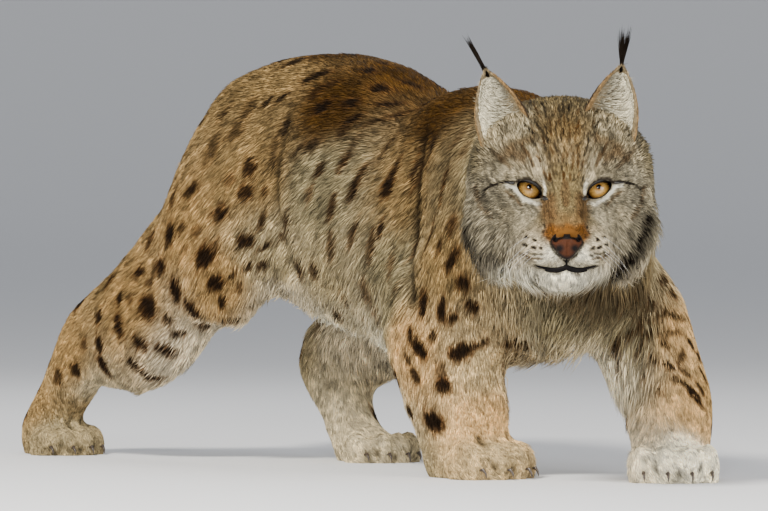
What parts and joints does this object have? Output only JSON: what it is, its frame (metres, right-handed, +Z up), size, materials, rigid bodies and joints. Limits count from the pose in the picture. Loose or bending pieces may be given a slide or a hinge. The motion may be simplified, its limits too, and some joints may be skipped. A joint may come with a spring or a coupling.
{
  "type": "eurasian lynx",
  "caption": "Still, life-size wild cat in mid-stride with tufted ears, cheek ruff, spotted long coat, short tail and broad paws.",
  "frame": {"origin": "on the floor, at the middle of the animal's outline seen from above", "axes": "+Z up; the body's length runs along Y with the head towards -Y; +X is the animal's left"},
  "size_m": [0.3834, 1.1966, 0.4918],
  "materials": {
    "fur": "soft winter fur, fawn with dark spots",
    "eye": "wet, clear and glossy"
  },
  "bodies": {
    "root": {"chest": "fur", "abdomen": "fur", "rump": "fur", "tail": "fur", "neck": "fur", "head": "fur", "ear_right": "fur", "ear_left": "fur", "fore_right_upper_leg": "fur", "fore_right_lower_leg": "fur", "fore_right_paw": "fur", "fore_left_upper_leg": "fur", "fore_left_lower_leg": "fur", "fore_left_paw": "fur", "hind_right_upper_leg": "fur", "hind_right_lower_leg": "fur", "hind_right_paw": "fur", "hind_left_upper_leg": "fur", "hind_left_lower_leg": "fur", "hind_left_paw": "fur", "eye_right": "eye", "eye_left": "eye"}
  },
  "joints": []
}
